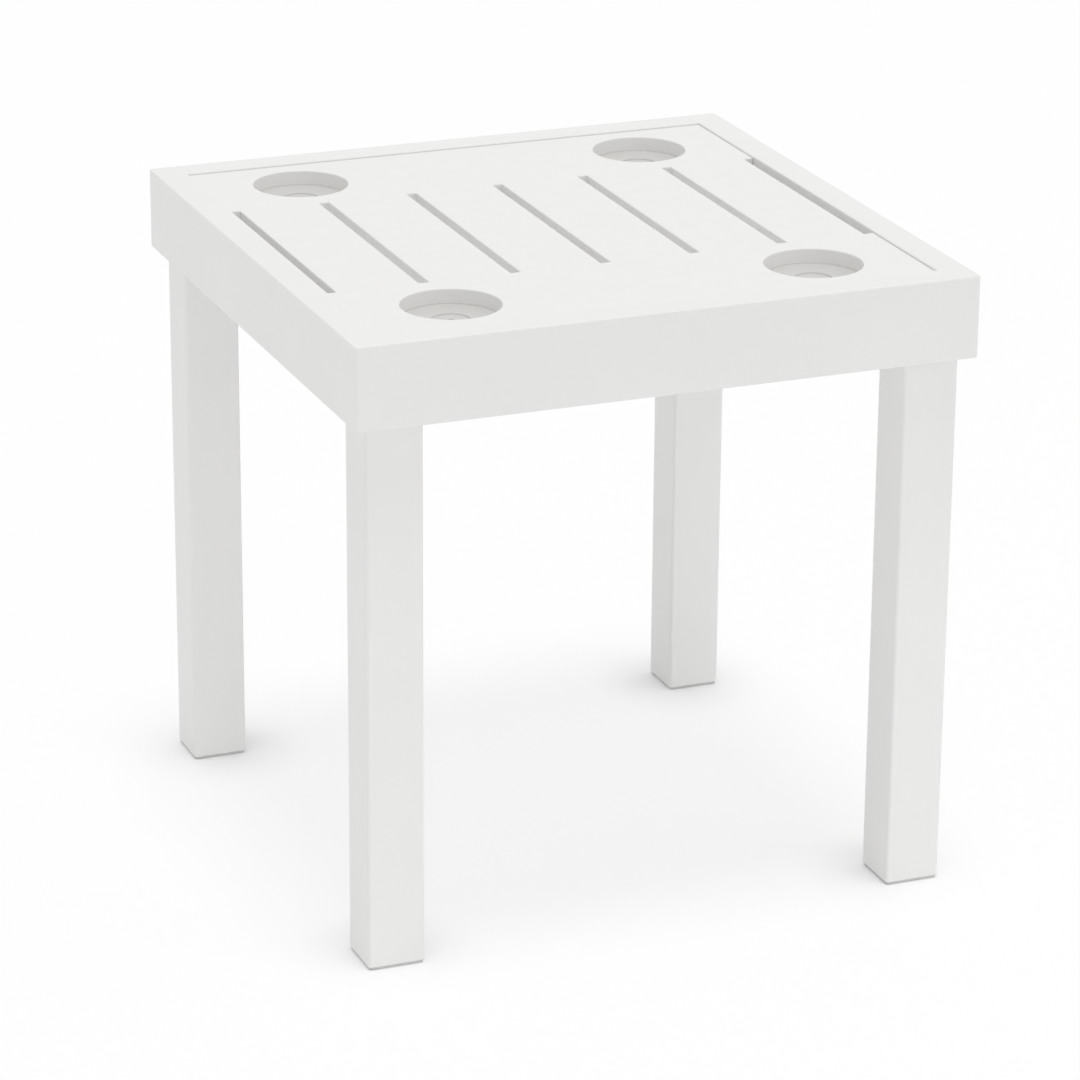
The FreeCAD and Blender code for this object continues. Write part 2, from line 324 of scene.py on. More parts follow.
def weigh_edges(mesh, lowest, outline_share):
    """Gives bevel weight to the creased edges above a height: a share of it on the outline."""
    shape = bmesh.new()
    shape.from_mesh(mesh)
    weight = shape.edges.layers.float.new("bevel_weight_edge")
    inner_x = max(abs(vert.co.x) for vert in shape.verts) - merge_distance
    inner_y = max(abs(vert.co.y) for vert in shape.verts) - merge_distance
    for edge in shape.edges:
        above = min(vert.co.z for vert in edge.verts) > lowest
        middle = (edge.verts[0].co + edge.verts[1].co) / 2
        inside = abs(middle.x) < inner_x and abs(middle.y) < inner_y
        eased = above and edge.calc_face_angle(open_edge_angle) > crease_angle
        edge[weight] = float(eased) * (1.0 if inside else outline_share)
    shape.to_mesh(mesh)
    shape.free()


def finished_piece(name, mesh, material, nodes, edge_radius=0.0, lowest_edge=below_everything,
                   outline_share=1.0):
    """Puts a mesh into the scene as a piece: eased edges, clean normals, material and body, and hides its
    solids.
    """
    item = bpy.data.objects.new(name, mesh)
    bpy.context.scene.collection.objects.link(item)
    mesh.materials.clear()
    mesh.materials.append(material)
    if edge_radius:
        weigh_edges(mesh, lowest_edge, outline_share)
        ease = item.modifiers.new("ease", "BEVEL")
        ease.width, ease.segments, ease.limit_method = edge_radius, edge_steps, "WEIGHT"
        ease.use_clamp_overlap, ease.loop_slide = True, False
        bake(item)
    item.data.shade_smooth()
    item.data.set_sharp_from_angle(angle=crease_angle)
    normals = item.modifiers.new("normals", "WEIGHTED_NORMAL")
    normals.keep_sharp = True
    bake(item)
    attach(item, "root")
    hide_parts(*nodes)
    return item


def piece_from_shape(name, shape, material, nodes, edge_radius=0.0):
    """Turns a bmesh into a finished piece."""
    mesh = bpy.data.meshes.new(name)
    shape.to_mesh(mesh)
    shape.free()
    return finished_piece(name, mesh, material, nodes, edge_radius)


print("edges past", round(math.degrees(crease_angle)), "degrees are eased in", edge_steps, "steps")

# %% [markdown]
# The apron is a welded frame of four hollow rails, mitred at the corners and ground to a small radius.
# A rail could be a box with a bevel, but then the mitre would round too and leave a groove in the flat top.
# So the rail's section is carried along the side, and only at the ends does each point of it follow
# half of the corner's turn, up to the mitre. Points deeper than the radius meet in one sharp inner corner.
# The top is square, so one rail turned four times makes the frame.

# %% The apron frame
rail_low, rail_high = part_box("rail_front")
half_top = cad_size.x / 2
rail_thickness = rail_high.y - rail_low.y
rail_wall = 2.0 * mm
rail_edge_radius = 1.2 * mm
rail_bore_radius = 0.6 * mm
frame_corner_radius = 2.5 * mm
mitre_angle = math.radians(45)


def rail_loop(section, end, angle):
    """The rail's section at one place along it: end is -1 or 1, angle is the part of the corner's turn."""
    loop = []
    for depth, height in section:
        reach = max(frame_corner_radius - depth, 0.0)
        base = half_top - max(frame_corner_radius, depth)
        along = end * (base + reach * math.sin(angle))
        across = -(base + reach * math.cos(angle))
        loop.append((along, across, height))
    return loop


def rail_shape(turn):
    """One hollow rail, turned about the table's middle by quarter turns."""
    outside = rounded_rectangle((0.0, rail_low.z), (rail_thickness, rail_high.z), rail_edge_radius)
    inside = rounded_rectangle((rail_wall, rail_low.z + rail_wall),
                               (rail_thickness - rail_wall, rail_high.z - rail_wall), rail_bore_radius)
    turned = [mitre_angle * step / corner_steps for step in range(corner_steps + 1)]
    stations = [(-1, angle) for angle in reversed(turned)] + [(1, angle) for angle in turned]
    skin = [rail_loop(outside, end, angle) for end, angle in stations]
    bore = [rail_loop(inside, end, angle) for end, angle in reversed(stations)]
    shape = merged_shape(*loft(skin + bore, ring=True))
    about_middle = Matrix.Rotation(turn * math.pi / 2, 3, "Z")
    bmesh.ops.rotate(shape, verts=shape.verts, cent=(0, 0, 0), matrix=about_middle)
    return shape


for turn, side in enumerate(("front", "right", "back", "left")):
    rail = piece_from_shape("apron_" + side, rail_shape(turn), frame_coat, ["rail_" + side])
    print(rail.name, len(rail.data.polygons), "faces")

# %% [markdown]
# What repeats on this table, slots and fasteners, is grown by Geometry Nodes. A tree is a recipe with named
# inputs, so one recipe serves every size. A modifier holds the values, under each socket's identifier.
# At the end of a tree the instances are made real, because an export would drop them,
# and the material is set. The result is baked to a plain mesh, and the object that grew it is thrown away.

# %% Geometry Nodes helpers
socket_kinds = {int: "NodeSocketInt", float: "NodeSocketFloat", Vector: "NodeSocketVector"}


def new_tree(name, sizes):
    """An empty Geometry Nodes tree with a named input for each size, and the sockets to wire them from."""
    tree = bpy.data.node_groups.new(name, "GeometryNodeTree")
    tree.interface.new_socket("Geometry", in_out="INPUT", socket_type="NodeSocketGeometry")
    for label, value in sizes.items():
        tree.interface.new_socket(label, in_out="INPUT", socket_type=socket_kinds[type(value)])
    tree.interface.new_socket("Geometry", in_out="OUTPUT", socket_type="NodeSocketGeometry")
    return tree, tree.nodes.new("NodeGroupInput").outputs


def close_tree(tree, geometry, material):
    """Ends a tree: instances become real, the material is set, the result goes out."""
    real = add_node(tree, "GeometryNodeRealizeInstances", Geometry=geometry)
    dressed = add_node(tree, "GeometryNodeSetMaterial", Geometry=real.outputs["Geometry"], Material=material)
    add_node(tree, "NodeGroupOutput", Geometry=dressed.outputs["Geometry"])


def grown_mesh(tree, sizes, start_points):
    """Runs a tree on a few points, with its sizes set by socket identifier, and returns the plain mesh."""
    seed = bpy.data.meshes.new(tree.name)
    seed.from_pydata(start_points, [], [])
    item = bpy.data.objects.new(tree.name, seed)
    bpy.context.scene.collection.objects.link(item)
    grow = item.modifiers.new("grow", "NODES")
    grow.node_group = tree
    for socket in tree.interface.items_tree:
        if socket.in_out == "INPUT" and socket.name in sizes:
            grow[socket.identifier] = sizes[socket.name]
    bake(item)
    mesh = item.data
    bpy.data.objects.remove(item)
    return mesh


def boolean(tree, operation, *links, base=None):
    """A Mesh Boolean node with the exact solver."""
    made = tree.nodes.new("GeometryNodeMeshBoolean")
    made.operation, made.solver = operation, "EXACT"
    if base is not None:
        tree.links.new(base, made.inputs["Mesh 1"])
    for link in links:
        tree.links.new(link, made.inputs["Mesh 2"])
    return made.outputs["Mesh"]


print("tree inputs can be", sorted(kind.__name__ for kind in socket_kinds))

# %% [markdown]
# The top is one thick board with seven drain slots and four round holes, as a router would cut them.
# Board, wells and rails come from the frame. The widths of slot and well are written here,
# because a bounding box does not tell them.
# The outermost slots run out of the board's sides, so the side rails close them, as on the real table.

# %% Sizes of the slotted top
panel_low, panel_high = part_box("top_panel")
cup_low, cup_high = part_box("cup_floor_back_right")
flange_radius = (cup_high.x - cup_low.x) / 2
cup_x = (cup_low.x + cup_high.x) / 2
cup_y = cup_low.y + flange_radius
cup_radius = 38.0 * mm
slot_count = 7
slot_width = 8.0 * mm
slot_to_cup_gap = 19.0 * mm
slot_length = 2 * (cup_y - cup_radius - slot_to_cup_gap)
slot_span = 2 * (half_top - rail_thickness) - slot_width
cutter_factor = 3
cutter_height = cutter_factor * (panel_high.z - panel_low.z)
top_sizes = {
    "Plate Size": panel_high - panel_low,
    "Plate Middle": (panel_low + panel_high) / 2,
    "Slot Count": slot_count,
    "First Slot": Vector((-slot_span / 2, 0, 0)),
    "Slot Step": Vector((slot_span / (slot_count - 1), 0, 0)),
    "Slot Size": Vector((slot_width, slot_length, cutter_height)),
    "Cup Spread X": 2 * cup_x,
    "Cup Spread Y": 2 * cup_y,
    "Hole Radius": cup_radius,
    "Cutter Height": cutter_height,
}
print("slots:", slot_count, "of", round(slot_length, 4), "m, wells at", round(cup_x, 4), round(cup_y, 4))

# %% [markdown]
# In the tree a line of points carries one slot cutter each, and a grid of two by two points carries
# the four round cutters. A Mesh Boolean takes all of them away from the board at once.
# A Boolean modifier for each cutter would give the same holes, but another count would mean more modifiers.
# The router leaves a soft edge on slots and wells. The board's outline is only sawn, so its edge is finer.

# %% The slotted top
def slotted_top_tree(sizes, material):
    """A plate with a row of slots and four round holes cut out of it."""
    round_steps, four_points_side = 128, 2
    tree, given = new_tree("slotted_top", sizes)
    plate = add_node(tree, "GeometryNodeMeshCube", Size=given["Plate Size"])
    row = add_node(tree, "GeometryNodeMeshLine", Count=given["Slot Count"],
                   Start_Location=given["First Slot"], Offset=given["Slot Step"])
    slot = add_node(tree, "GeometryNodeMeshCube", Size=given["Slot Size"])
    slots = add_node(tree, "GeometryNodeInstanceOnPoints", Points=row.outputs["Mesh"],
                     Instance=slot.outputs["Mesh"])
    four = add_node(tree, "GeometryNodeMeshGrid", Size_X=given["Cup Spread X"], Size_Y=given["Cup Spread Y"],
                    Vertices_X=four_points_side, Vertices_Y=four_points_side)
    hole = add_node(tree, "GeometryNodeMeshCylinder", Vertices=round_steps, Radius=given["Hole Radius"],
                    Depth=given["Cutter Height"])
    holes = add_node(tree, "GeometryNodeInstanceOnPoints", Points=four.outputs["Mesh"],
                     Instance=hole.outputs["Mesh"])
    real_slots = add_node(tree, "GeometryNodeRealizeInstances", Geometry=slots.outputs["Instances"])
    real_holes = add_node(tree, "GeometryNodeRealizeInstances", Geometry=holes.outputs["Instances"])
    cut = boolean(tree, "DIFFERENCE", real_slots.outputs["Geometry"], real_holes.outputs["Geometry"],
                  base=plate.outputs["Mesh"])
    placed = add_node(tree, "GeometryNodeTransform", Geometry=cut, Translation=given["Plate Middle"])
    close_tree(tree, placed.outputs["Geometry"], material)
    return tree


routed_edge_radius = 1.1 * mm
sawn_edge_radius = 0.35 * mm
top_mesh = grown_mesh(slotted_top_tree(top_sizes, panel_board), top_sizes, [(0, 0, 0)])
top = finished_piece("slotted_top", top_mesh, panel_board, ["top_panel"],
                     edge_radius=routed_edge_radius, lowest_edge=panel_low.z + merge_distance,
                     outline_share=sawn_edge_radius / routed_edge_radius)
print(top.name, len(top.data.polygons), "faces")

# %% [markdown]
# A cup well is a round hole through the thick board, closed from below by a floor plate. The plate has
# a low beaded rim that centres it in the hole, a shallow dish with a drain hole, and a flange for its screws.
# Anything round is one section carried about an axis. Blender's Spin or Screw would do that,
# and a loft over turned copies of the section does it without a seam.
# The flange is cut straight where it passes the ledge: a plane cuts the shape, and the cut is closed.

# %% The cup floors
cup_rim_clearance = 0.02 * mm
cup_rim_thickness = 1.0 * mm
cup_rim_radius = 0.9 * mm
cup_rim_outer_radius = 0.05 * mm
cup_corner_radius = 0.6 * mm
cup_dish_radius = 15.0 * mm
cup_dish_depth = 1.2 * mm
cup_dish_edge = 0.5 * mm
cup_drain_radius = 4.0 * mm
cup_steps = 128
any_number_of_sides = 0


def cup_section():
    """The plate's section as radius and height, from the drain hole out over the rim and back underneath."""
    base, plate_top, rim_top = cup_low.z, panel_low.z, cup_high.z
    dish_floor = plate_top - cup_dish_depth
    rim_outside = cup_radius - cup_rim_clearance
    rim_inside = rim_outside - cup_rim_thickness
    section = [(cup_drain_radius, dish_floor)]
    section += arc((cup_dish_radius - cup_dish_edge, dish_floor + cup_dish_edge), cup_dish_edge, -1, 0)
    section += arc((cup_dish_radius + cup_dish_edge, plate_top - cup_dish_edge), cup_dish_edge, 2, 1)
    section += arc((rim_inside - cup_corner_radius, plate_top + cup_corner_radius), cup_corner_radius, -1, 0)
    section += arc((rim_inside + cup_rim_radius, rim_top - cup_rim_radius), cup_rim_radius, 2, 1)
    section += arc((rim_outside - cup_rim_outer_radius, rim_top - cup_rim_outer_radius),
                   cup_rim_outer_radius, 1, 0)
    section += [(rim_outside, plate_top), (flange_radius, plate_top)]
    section += [(flange_radius, base), (cup_drain_radius, base)]
    return section


def cup_shape(node):
    """One round plate at the place of its solid, with its flange cut straight on the ledge's side."""
    low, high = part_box(node)
    front = low.y < 0
    cut_line, outwards = (low.y, -1) if front else (high.y, 1)
    middle_y = high.y - flange_radius if front else low.y + flange_radius
    middle = Vector(((low.x + high.x) / 2, middle_y))
    loops = []
    for step in range(cup_steps):
        angle = 2 * math.pi * step / cup_steps
        out = Vector((math.cos(angle), math.sin(angle)))
        loops.append([(*(middle + radius * out), height) for radius, height in cup_section()])
    shape = merged_shape(*loft(loops, ring=True))
    everything = shape.verts[:] + shape.edges[:] + shape.faces[:]
    bmesh.ops.bisect_plane(shape, geom=everything, dist=merge_distance, plane_co=(0, cut_line, 0),
                           plane_no=(0, outwards, 0), clear_outer=True)
    open_edges = [edge for edge in shape.edges if edge.is_boundary]
    bmesh.ops.holes_fill(shape, edges=open_edges, sides=any_number_of_sides)
    bmesh.ops.recalc_face_normals(shape, faces=shape.faces)
    return shape


# The cup floors get the grey coat, which is painted shade for the wells.
for corner in corners:
    node = "cup_floor_" + corner
    cup = piece_from_shape("cup_dish_" + corner, cup_shape(node), cup_coat, [node])
    print(cup.name, len(cup.data.polygons), "faces")

# %% [markdown]
# The legs are square tubes with a small outside radius, sawn to length and coated before the feet go in.
# A tube could be a box with Solidify, but its bore has a smaller radius than its outside, so it is a loft
# of four loops: the outside at the bottom and the top, then the bore at the top and the bottom.
# Under each leg is a moulded cap: a pad that shows as a thin line, and a hollow plug that grips the bore.

# %% Legs and feet
leg_wall = 2.0 * mm
leg_corner_radius = 2.5 * mm
leg_bore_radius = 0.5 * mm
leg_end_radius = 0.3 * mm
foot_plug_gap = 0.3 * mm
foot_plug_wall = 3.0 * mm
foot_edge_radius = 0.8 * mm
foot_corner_radius = 3.0 * mm


def inset_loop(low, high, inset, radius, height):
    """A rounded rectangle inside a box's outline, at one height."""
    outline = rounded_rectangle((low.x + inset, low.y + inset), (high.x - inset, high.y - inset), radius)
    return [(x, y, height) for x, y in outline]


def leg_shape(low, high):
    """A square tube between two corners."""
    loops = [inset_loop(low, high, 0.0, leg_corner_radius, height) for height in (low.z, high.z)]
    loops += [inset_loop(low, high, leg_wall, leg_bore_radius, height) for height in (high.z, low.z)]
    return merged_shape(*loft(loops, ring=True))


def foot_shape(low, high, leg_low):
    """A pad with a rounded lower edge and a hollow plug on it."""
    loops = []
    for out, up in arc((foot_edge_radius, foot_edge_radius), foot_edge_radius, 3, 2):
        loops.append(inset_loop(low, high, out, foot_corner_radius - out, low.z + up))
    plug = leg_low.x - low.x + leg_wall + foot_plug_gap
    hollow = plug + foot_plug_wall
    loops.append(inset_loop(low, high, 0.0, foot_corner_radius, leg_low.z))
    for inset, height in ((plug, leg_low.z), (plug, high.z), (hollow, high.z), (hollow, leg_low.z)):
        loops.append(inset_loop(low, high, inset, leg_bore_radius, height))
    return merged_shape(*loft(loops, ring=False))


for corner in corners:
    leg_box, foot_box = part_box("leg_" + corner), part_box("foot_cap_" + corner)
    leg = piece_from_shape("post_" + corner, leg_shape(*leg_box), leg_coat, ["leg_" + corner],
                           leg_end_radius)
    foot = piece_from_shape("foot_" + corner, foot_shape(*foot_box, leg_box[0]), foot_plastic,
                            ["foot_cap_" + corner])
    print(leg.name, len(leg.data.polygons), "faces,", foot.name, len(foot.data.polygons), "faces")

# %% [markdown]
# Under the top are angles, bearers, rubber strips, corner plates and the tapped blocks in the leg tops.
# They could be modelled again, but their solids already have the right shape, only with edges as sharp
# as a drawing's. So each is copied, its triangles are merged back into flat faces, and its edges are eased
# as a file would do it.

# %% Hidden structure
flat_angle = math.radians(1)
filed_edge_radius = 0.4 * mm


def eased_copy(node, name, material):
    """A copy of a solid's mesh with eased edges."""
    shape = bmesh.new()
    shape.from_mesh(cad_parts[node].data)
    bmesh.ops.remove_doubles(shape, verts=shape.verts, dist=merge_distance)
    bmesh.ops.dissolve_limit(shape, angle_limit=flat_angle, verts=shape.verts, edges=shape.edges)
    return piece_from_shape(name, shape, material, [node], filed_edge_radius)


hidden = []
for side in ("front", "back"):
    hidden.append(eased_copy("ledge_" + side, "angle_" + side, inner_coat))
for side in ("left", "right"):
    hidden.append(eased_copy("bearer_" + side, "bearer_tube_" + side, inner_coat))
    hidden.append(eased_copy("bearer_pad_" + side, "bearer_strip_" + side, pad_rubber))
for corner in corners:
    hidden.append(eased_copy("corner_plate_" + corner, "gusset_" + corner, inner_coat))
    block = "tapped_block_" + corner
    hidden.append(eased_copy("leg_plug_" + corner, block, sawn_aluminium))
print(len(hidden), "hidden pieces eased")

# %% [markdown]
# Bolts, washers and screws repeat, so each kind is one small shape that is set on many points.
# The points could be written out, but the frame knows them: every separate solid in a node gives one.
# A solid is found by walking from vertex to vertex along the edges until no new vertex comes up.

# %% Where the fasteners stand
def solid_boxes(node):
    """The lowest and highest corners of each separate solid in a node, in a steady order."""
    shape = bmesh.new()
    shape.from_mesh(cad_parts[node].data)
    bmesh.ops.remove_doubles(shape, verts=shape.verts, dist=merge_distance)
    seen, boxes = set(), []
    for start in shape.verts:
        if start in seen:
            continue
        seen.add(start)
        waiting, places = [start], []
        while waiting:
            vert = waiting.pop()
            places.append(vert.co.copy())
            for edge in vert.link_edges:
                other = edge.other_vert(vert)
                if other not in seen:
                    seen.add(other)
                    waiting.append(other)
        boxes.append((Vector(map(min, *places)), Vector(map(max, *places))))
    shape.free()
    return sorted(boxes, key=lambda pair: tuple(pair[0]))


def standing_points(node, height):
    """The middle of each solid in a node, at one height."""
    return [((low.x + high.x) / 2, (low.y + high.y) / 2, height) for low, high in solid_boxes(node)]


for node in ("leg_bolts", "leg_bolt_washers", "panel_screws", "cup_screws"):
    print(node, len(solid_boxes(node)), "solids")

# %% [markdown]
# A bolt is a six-sided head joined to a round shank, and a screw has a round head with a cross cut into it.
# Both are one recipe: a cylinder for the head stands on the point, a thinner one goes the other way,
# and a union makes them one shape. Two bars may cut the cross. Threads stay in their holes and are left out.

# %% A tree for bolts and screws
def fastener_tree(name, sizes, material, cross):
    """A headed fastener on every point: the head stands on the point and the shank goes the other way."""
    shank_steps = 24
    half, full = 0.5, 1.0
    tree, given = new_tree(name, sizes)

    def upright(shape, length, share):
        """Moves a shape along Z by a share of a length."""
        place = add_node(tree, "ShaderNodeCombineXYZ", Z=maths(tree, "MULTIPLY", length, share))
        moved = add_node(tree, "GeometryNodeTransform", Geometry=shape.outputs["Mesh"],
                         Translation=place.outputs["Vector"])
        return moved.outputs["Geometry"]

    head = add_node(tree, "GeometryNodeMeshCylinder", Vertices=given["Head Sides"],
                    Radius=given["Head Radius"], Depth=given["Head Height"])
    shank = add_node(tree, "GeometryNodeMeshCylinder", Vertices=shank_steps, Radius=given["Shank Radius"],
                     Depth=given["Shank Length"])
    whole = boolean(tree, "UNION", upright(head, given["Head Height"], half),
                    upright(shank, given["Shank Length"], -half))
    if cross:
        bar = add_node(tree, "GeometryNodeMeshCube", Size=given["Cross Bar"])
        other_bar = add_node(tree, "GeometryNodeMeshCube", Size=given["Other Bar"])
        whole = boolean(tree, "DIFFERENCE", upright(bar, given["Head Height"], full),
                        upright(other_bar, given["Head Height"], full), base=whole)
    set_out = add_node(tree, "GeometryNodeInstanceOnPoints", Points=given["Geometry"], Instance=whole,
                       Rotation=given["Turn"])
    close_tree(tree, set_out.outputs["Instances"], material)
    return tree


print("a fastener tree can cut a cross or leave the head plain")

# %% [markdown]
# A washer is punched out of sheet: a flat cylinder less a smaller one. A torus would be round in section.
# Like the bolts it is set on points, so the eight washers of the legs are one mesh and one piece.

# %% A tree for washers
def washer_tree(name, sizes, material):
    """A flat ring on every point."""
    ring_steps = 32
    tree, given = new_tree(name, sizes)
    plate = add_node(tree, "GeometryNodeMeshCylinder", Vertices=ring_steps, Radius=given["Outer Radius"],
                     Depth=given["Thickness"])
    hole = add_node(tree, "GeometryNodeMeshCylinder", Vertices=ring_steps, Radius=given["Hole Radius"],
                    Depth=given["Cutter Height"])
    ring = boolean(tree, "DIFFERENCE", hole.outputs["Mesh"], base=plate.outputs["Mesh"])
    set_out = add_node(tree, "GeometryNodeInstanceOnPoints", Points=given["Geometry"], Instance=ring)
    close_tree(tree, set_out.outputs["Instances"], material)
    return tree


print("a washer tree makes one ring for each point")

# %% [markdown]
# Two hexagon bolts go down through each corner plate into the block in the leg, with a washer under the head.
# Where head and shank meet is the top of the washer, and so the heights are taken from the two solids' boxes.
# The radius of the shank and that of the washer's hole are written here, because a box does not tell them.

# %% Bolts and washers at the legs
fastener_edge_radius = 0.25 * mm
heads_up, heads_down = Vector((0, 0, 0)), Vector((math.pi, 0, 0))
hexagon_sides = 6
bolt_low, bolt_high = solid_boxes("leg_bolts")[0]
washer_low, washer_high = solid_boxes("leg_bolt_washers")[0]
bolt_shank_radius = 3.0 * mm
washer_hole_radius = 3.25 * mm
washer_thickness = washer_high.z - washer_low.z
bolt_sizes = {
    "Head Sides": hexagon_sides,
    "Head Radius": (bolt_high.x - bolt_low.x) / 2,
    "Head Height": bolt_high.z - washer_high.z,
    "Shank Radius": bolt_shank_radius,
    "Shank Length": washer_high.z - bolt_low.z,
    "Turn": heads_up,
}
washer_sizes = {
    "Outer Radius": (washer_high.x - washer_low.x) / 2,
    "Hole Radius": washer_hole_radius,
    "Thickness": washer_thickness,
    "Cutter Height": cutter_factor * washer_thickness,
}
bolt_mesh = grown_mesh(fastener_tree("hex_bolts", bolt_sizes, zinc_steel, cross=False), bolt_sizes,
                       standing_points("leg_bolts", washer_high.z))
bolts = finished_piece("hex_bolts", bolt_mesh, zinc_steel, ["leg_bolts"],
                       fastener_edge_radius)
washer_mesh = grown_mesh(washer_tree("flat_washers", washer_sizes, zinc_steel), washer_sizes,
                         standing_points("leg_bolt_washers", (washer_low.z + washer_high.z) / 2))
washers = finished_piece("flat_washers", washer_mesh, zinc_steel, ["leg_bolt_washers"],
                         fastener_edge_radius)
print(bolts.name, len(bolts.data.polygons), "faces,", washers.name, len(washers.data.polygons), "faces")

# %% [markdown]
# Six screws hold the board to the ledges, and three hold each cup floor. All point up, heads below.
# They use the recipe of the bolts with a round head, a cross and a half turn about X,
# which is simpler than a second recipe that is built upside down.

# %% Screws under the panel
screw_head_steps = 32
cross_share, cross_width_share, cross_depth_share = 1.1, 0.2, 0.9


def screws_up(name, node, shank_radius, head_height):
    """Round-headed screws that point up, one for each solid of a node."""
    low, high = solid_boxes(node)[0]
    head_radius = (high.x - low.x) / 2
    bar, gap = cross_share * head_radius, cross_width_share * head_radius
    deep = cross_depth_share * head_height
    sizes = {
        "Head Sides": screw_head_steps,
        "Head Radius": head_radius,
        "Head Height": head_height,
        "Shank Radius": shank_radius,
        "Shank Length": high.z - low.z - head_height,
        "Cross Bar": Vector((bar, gap, deep)),
        "Other Bar": Vector((gap, bar, deep)),
        "Turn": heads_down,
    }
    points = standing_points(node, low.z + head_height)
    mesh = grown_mesh(fastener_tree(name, sizes, zinc_steel, cross=True), sizes, points)
    return finished_piece(name, mesh, zinc_steel, [node], fastener_edge_radius)


panel_screw_radius, panel_screw_head = 2.0 * mm, 2.6 * mm
cup_screw_radius, cup_screw_head = 1.5 * mm, 1.8 * mm
for screws in (screws_up("panel_fixings", "panel_screws", panel_screw_radius, panel_screw_head),
               screws_up("cup_fixings", "cup_screws", cup_screw_radius, cup_screw_head)):
    print(screws.name, len(screws.data.polygons), "faces")

# %% [markdown]
# The setting is a white studio: a pale floor with no edge in view, which takes the table's shadow.
# More light would make the floor white, but it would also bleach the table. So where the camera sees it
# the floor is mixed with plain white, and the open floor reads as white paper while the shadow stays.
# The same mix is given to glossy and transmitted rays, so that bright metal mirrors the same white.
# Close to the feet an Ambient Occlusion node holds the white back, which paints a darker contact shade round
# each foot on top of the table's real shadow.

# %% The floor
floor_radius = 14.0
floor_steps = 96
floor_tone = (0.99, 0.99, 0.99, 1.0)
white = (1.0, 1.0, 1.0, 1.0)
paper_share = 0.67
contact_reach, contact_depth, contact_samples = 0.06, 3.0, 8


def seen_directly(tree):
    """A socket that is 1 for camera, glossy and transmitted rays and 0 for the rest."""
    path = add_node(tree, "ShaderNodeLightPath")
    total = path.outputs["Is Camera Ray"]
    for ray in ("Is Glossy Ray", "Is Transmission Ray"):
        total = maths(tree, "MAXIMUM", total, path.outputs[ray])
    return total


paper = bpy.data.materials.new("studio_paper")
paper.use_nodes = True
paper_tree = paper.node_tree
paper_tree.nodes.clear()
matte = add_node(paper_tree, "ShaderNodeBsdfDiffuse", Color=floor_tone)
glow = add_node(paper_tree, "ShaderNodeEmission", Color=white, Strength=1.0)
# Painted contact shade: the occlusion lowers the white near the feet, so the floor darkens there.
open_ground = add_node(paper_tree, "ShaderNodeAmbientOcclusion", Distance=contact_reach)
open_ground.samples = contact_samples
painted_contact_shade = maths(paper_tree, "POWER", open_ground.outputs["AO"], contact_depth)
full_share = maths(paper_tree, "MULTIPLY", seen_directly(paper_tree), paper_share)
white_share = maths(paper_tree, "MULTIPLY", full_share, painted_contact_shade)
paper_mix = add_node(paper_tree, "ShaderNodeMixShader", Fac=white_share)
paper_tree.links.new(matte.outputs["BSDF"], paper_mix.inputs[1])
paper_tree.links.new(glow.outputs["Emission"], paper_mix.inputs[2])
add_node(paper_tree, "ShaderNodeOutputMaterial", Surface=paper_mix.outputs["Shader"])

floor_shape = bmesh.new()
bmesh.ops.create_circle(floor_shape, cap_ends=True, radius=floor_radius, segments=floor_steps)
floor_mesh = bpy.data.meshes.new("studio_floor")
floor_shape.to_mesh(floor_mesh)
floor_shape.free()
floor_mesh.materials.append(paper)
floor = bpy.data.objects.new("studio_floor", floor_mesh)
bpy.context.scene.collection.objects.link(floor)
print("floor of", floor_radius, "m radius,", paper_share, "of it plain white for the camera")

# %% [markdown]
# An even sky lights the table from all sides, as the walls of a white studio do.
# Its strength sets how bright the sides of the table are. The camera sees it topped up to 1,
# which is plain white, with the same test of the rays as on the floor.

# %% The sky
sky_strength = 0.70

sky = bpy.data.worlds.new("studio_sky")
sky.use_nodes = True
sky_tree = sky.node_tree
sky_light = sky_tree.nodes["Background"]
sky_light.inputs["Color"].default_value = white
topping = maths(sky_tree, "MULTIPLY", seen_directly(sky_tree), 1.0 - sky_strength)
feed(sky_tree, sky_light.inputs["Strength"], maths(sky_tree, "ADD", topping, sky_strength))
bpy.context.scene.world = sky
print("sky strength", sky_strength)

# %% [markdown]
# Three lamps help the sky. A wide overhead one lights the whole floor alike, as a ceiling of diffusers would,
# and comes a little from the front, so the shadow lies under the table and slips back.
# A large box at the front right lifts the front, reaches under the top, and lights the wells' left ends.
# A strip on the floor in front has a narrow beam, which passes under the apron and lifts the lower legs.
# The camera does not see the lamps themselves, so the background stays plain from every side.

# %% Lamps
overhead_share = 0.274
overhead_softness = math.radians(18)
overhead_from = Vector((0.0, -0.08, 1.0))
overhead_aim = Vector((0.0, 0.0, 0.0))
fill_place, fill_aim = Vector((3.3, -3.2, 2.3)), Vector((0.0, 0.0, 0.3))
fill_side, fill_power = 2.4, 13.7
strip_place, strip_aim = Vector((0.9, -2.40, 0.12)), Vector((0.1, 0.1, 0.04))
strip_length, strip_height, strip_power = 1.6, 0.16, 0.137
strip_beam = math.radians(22)


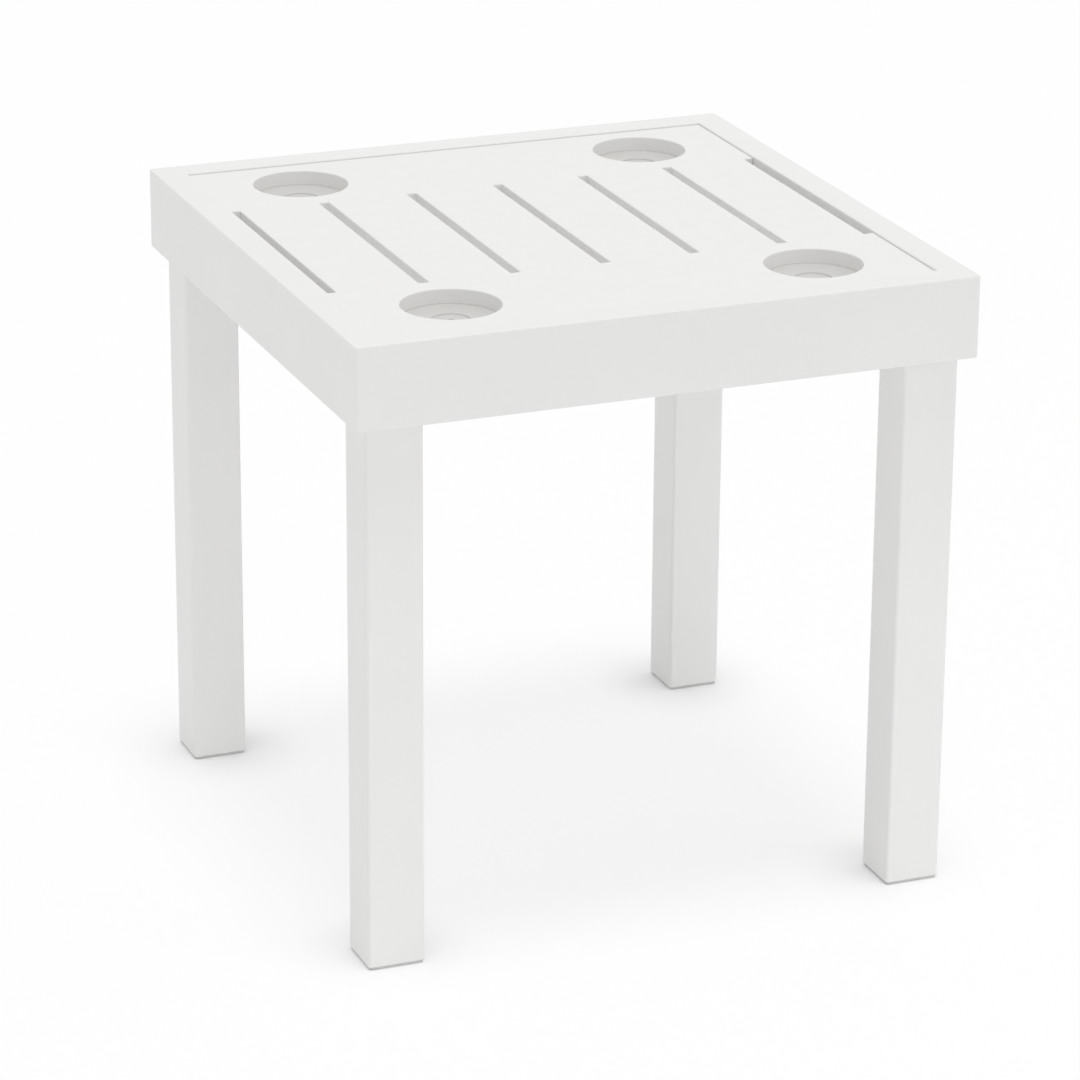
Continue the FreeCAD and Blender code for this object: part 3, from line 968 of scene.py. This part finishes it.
def hang(lamp_data, place, aim):
    """Puts a lamp into the scene at a place, turned towards an aim."""
    lamp = bpy.data.objects.new(lamp_data.name, lamp_data)
    turn = (aim - place).to_track_quat("-Z", "Y").to_matrix().to_4x4()
    lamp.matrix_world = Matrix.Translation(place) @ turn
    lamp.visible_camera = False
    bpy.context.scene.collection.objects.link(lamp)


overhead = bpy.data.lights.new("overhead_lamp", "SUN")
overhead.energy, overhead.angle = overhead_share * math.pi, overhead_softness
hang(overhead, overhead_from, overhead_aim)
fill = bpy.data.lights.new("fill_box", "AREA")
fill.shape, fill.size, fill.energy = "SQUARE", fill_side, fill_power
hang(fill, fill_place, fill_aim)
strip = bpy.data.lights.new("floor_strip", "AREA")
strip.shape, strip.size, strip.size_y = "RECTANGLE", strip_length, strip_height
strip.energy, strip.spread = strip_power, strip_beam
hang(strip, strip_place, strip_aim)
print("overhead share", overhead_share, "of the light, fill box", fill_power, "W, strip", strip_power, "W")

# %% [markdown]
# The camera stands where the photographer stood: well off to the front left, above the top, with a long lens.
# A Track To constraint could aim it, but its place and angles were worked out together from the table's
# corners in the picture, so they are set as they came. A camera without a turn looks straight down.

# %% Camera
camera_place = Vector((-1.2810, -3.1810, 1.5126))
camera_heading, camera_tilt, camera_roll = 21.832, -20.459, 0.405
camera_lens, camera_film = 152.12, 36.0
from_down_to_level = 90.0

camera_data = bpy.data.cameras.new("studio_camera")
camera_data.lens, camera_data.sensor_width, camera_data.sensor_fit = camera_lens, camera_film, "HORIZONTAL"
camera = bpy.data.objects.new("studio_camera", camera_data)
heading = Matrix.Rotation(math.radians(-camera_heading), 4, "Z")
tilt = Matrix.Rotation(math.radians(from_down_to_level + camera_tilt), 4, "X")
roll = Matrix.Rotation(math.radians(camera_roll), 4, "Z")
camera.matrix_world = Matrix.Translation(camera_place) @ heading @ tilt @ roll
bpy.context.scene.collection.objects.link(camera)
bpy.context.scene.camera = camera
bpy.context.scene.view_settings.view_transform = "Standard"
print("camera", round(camera_place.length, 2), "m from the origin")
